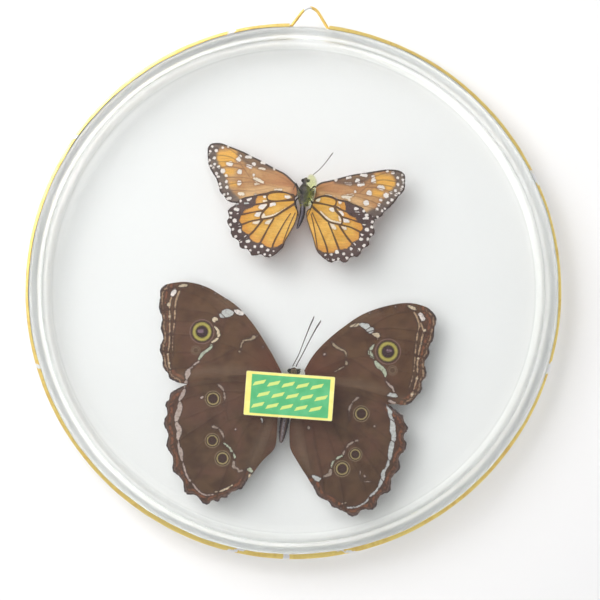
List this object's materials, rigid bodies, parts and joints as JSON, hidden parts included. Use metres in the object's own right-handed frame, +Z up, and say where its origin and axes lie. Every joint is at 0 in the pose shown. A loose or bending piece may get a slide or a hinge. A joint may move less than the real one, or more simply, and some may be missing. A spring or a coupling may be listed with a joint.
{
  "type": "framed butterfly specimen",
  "caption": "Round hanging case of clear pressed glass bound by a narrow gilt band with a wire loop, holding a brown morpho and an orange queen butterfly glued inside behind a paper label.",
  "frame": {"origin": "centre of the back glass's flat outer face, which lies towards the wall", "axes": "+Y out of the back face towards the wall, +Z up towards the hanging loop, +X to the right as seen from the front, which is the label side"},
  "size_m": [0.2, 0.0225, 0.2068],
  "materials": {
    "clear_glass": "clear, polished, faintly green at the edge",
    "gilt_brass": "gilt, satin, worn to grey metal in places",
    "green_paper": "printed paper, green field with a yellow border",
    "brown_wing": "fine matt scales, brown with eyespots, blue above",
    "tawny_wing": "fine matt scales, tawny with white spots",
    "golden_wing": "fine matt scales, golden with dark veins",
    "dark_body": "dark, short hair",
    "yellow_glue": "clear, yellowed, glossy"
  },
  "bodies": {
    "root": {"glass_front": "clear_glass", "glass_back": "clear_glass", "rim_band": "gilt_brass", "hanging_loop": "gilt_brass", "paper_label": "green_paper", "morpho_body": "dark_body", "morpho_left_forewing": "brown_wing", "morpho_right_forewing": "brown_wing", "morpho_left_hindwing": "brown_wing", "morpho_right_hindwing": "brown_wing", "morpho_left_antenna": "dark_body", "morpho_right_antenna": "dark_body", "morpho_left_midleg": "dark_body", "morpho_right_midleg": "dark_body", "morpho_left_hindleg": "dark_body", "morpho_right_hindleg": "dark_body", "morpho_glue": "yellow_glue", "queen_body": "dark_body", "queen_left_forewing": "tawny_wing", "queen_right_forewing": "tawny_wing", "queen_left_hindwing": "golden_wing", "queen_right_hindwing": "golden_wing", "queen_antenna": "dark_body", "queen_left_midleg": "dark_body", "queen_right_midleg": "dark_body", "queen_left_hindleg": "dark_body", "queen_right_hindleg": "dark_body", "queen_glue": "yellow_glue"}
  },
  "joints": []
}
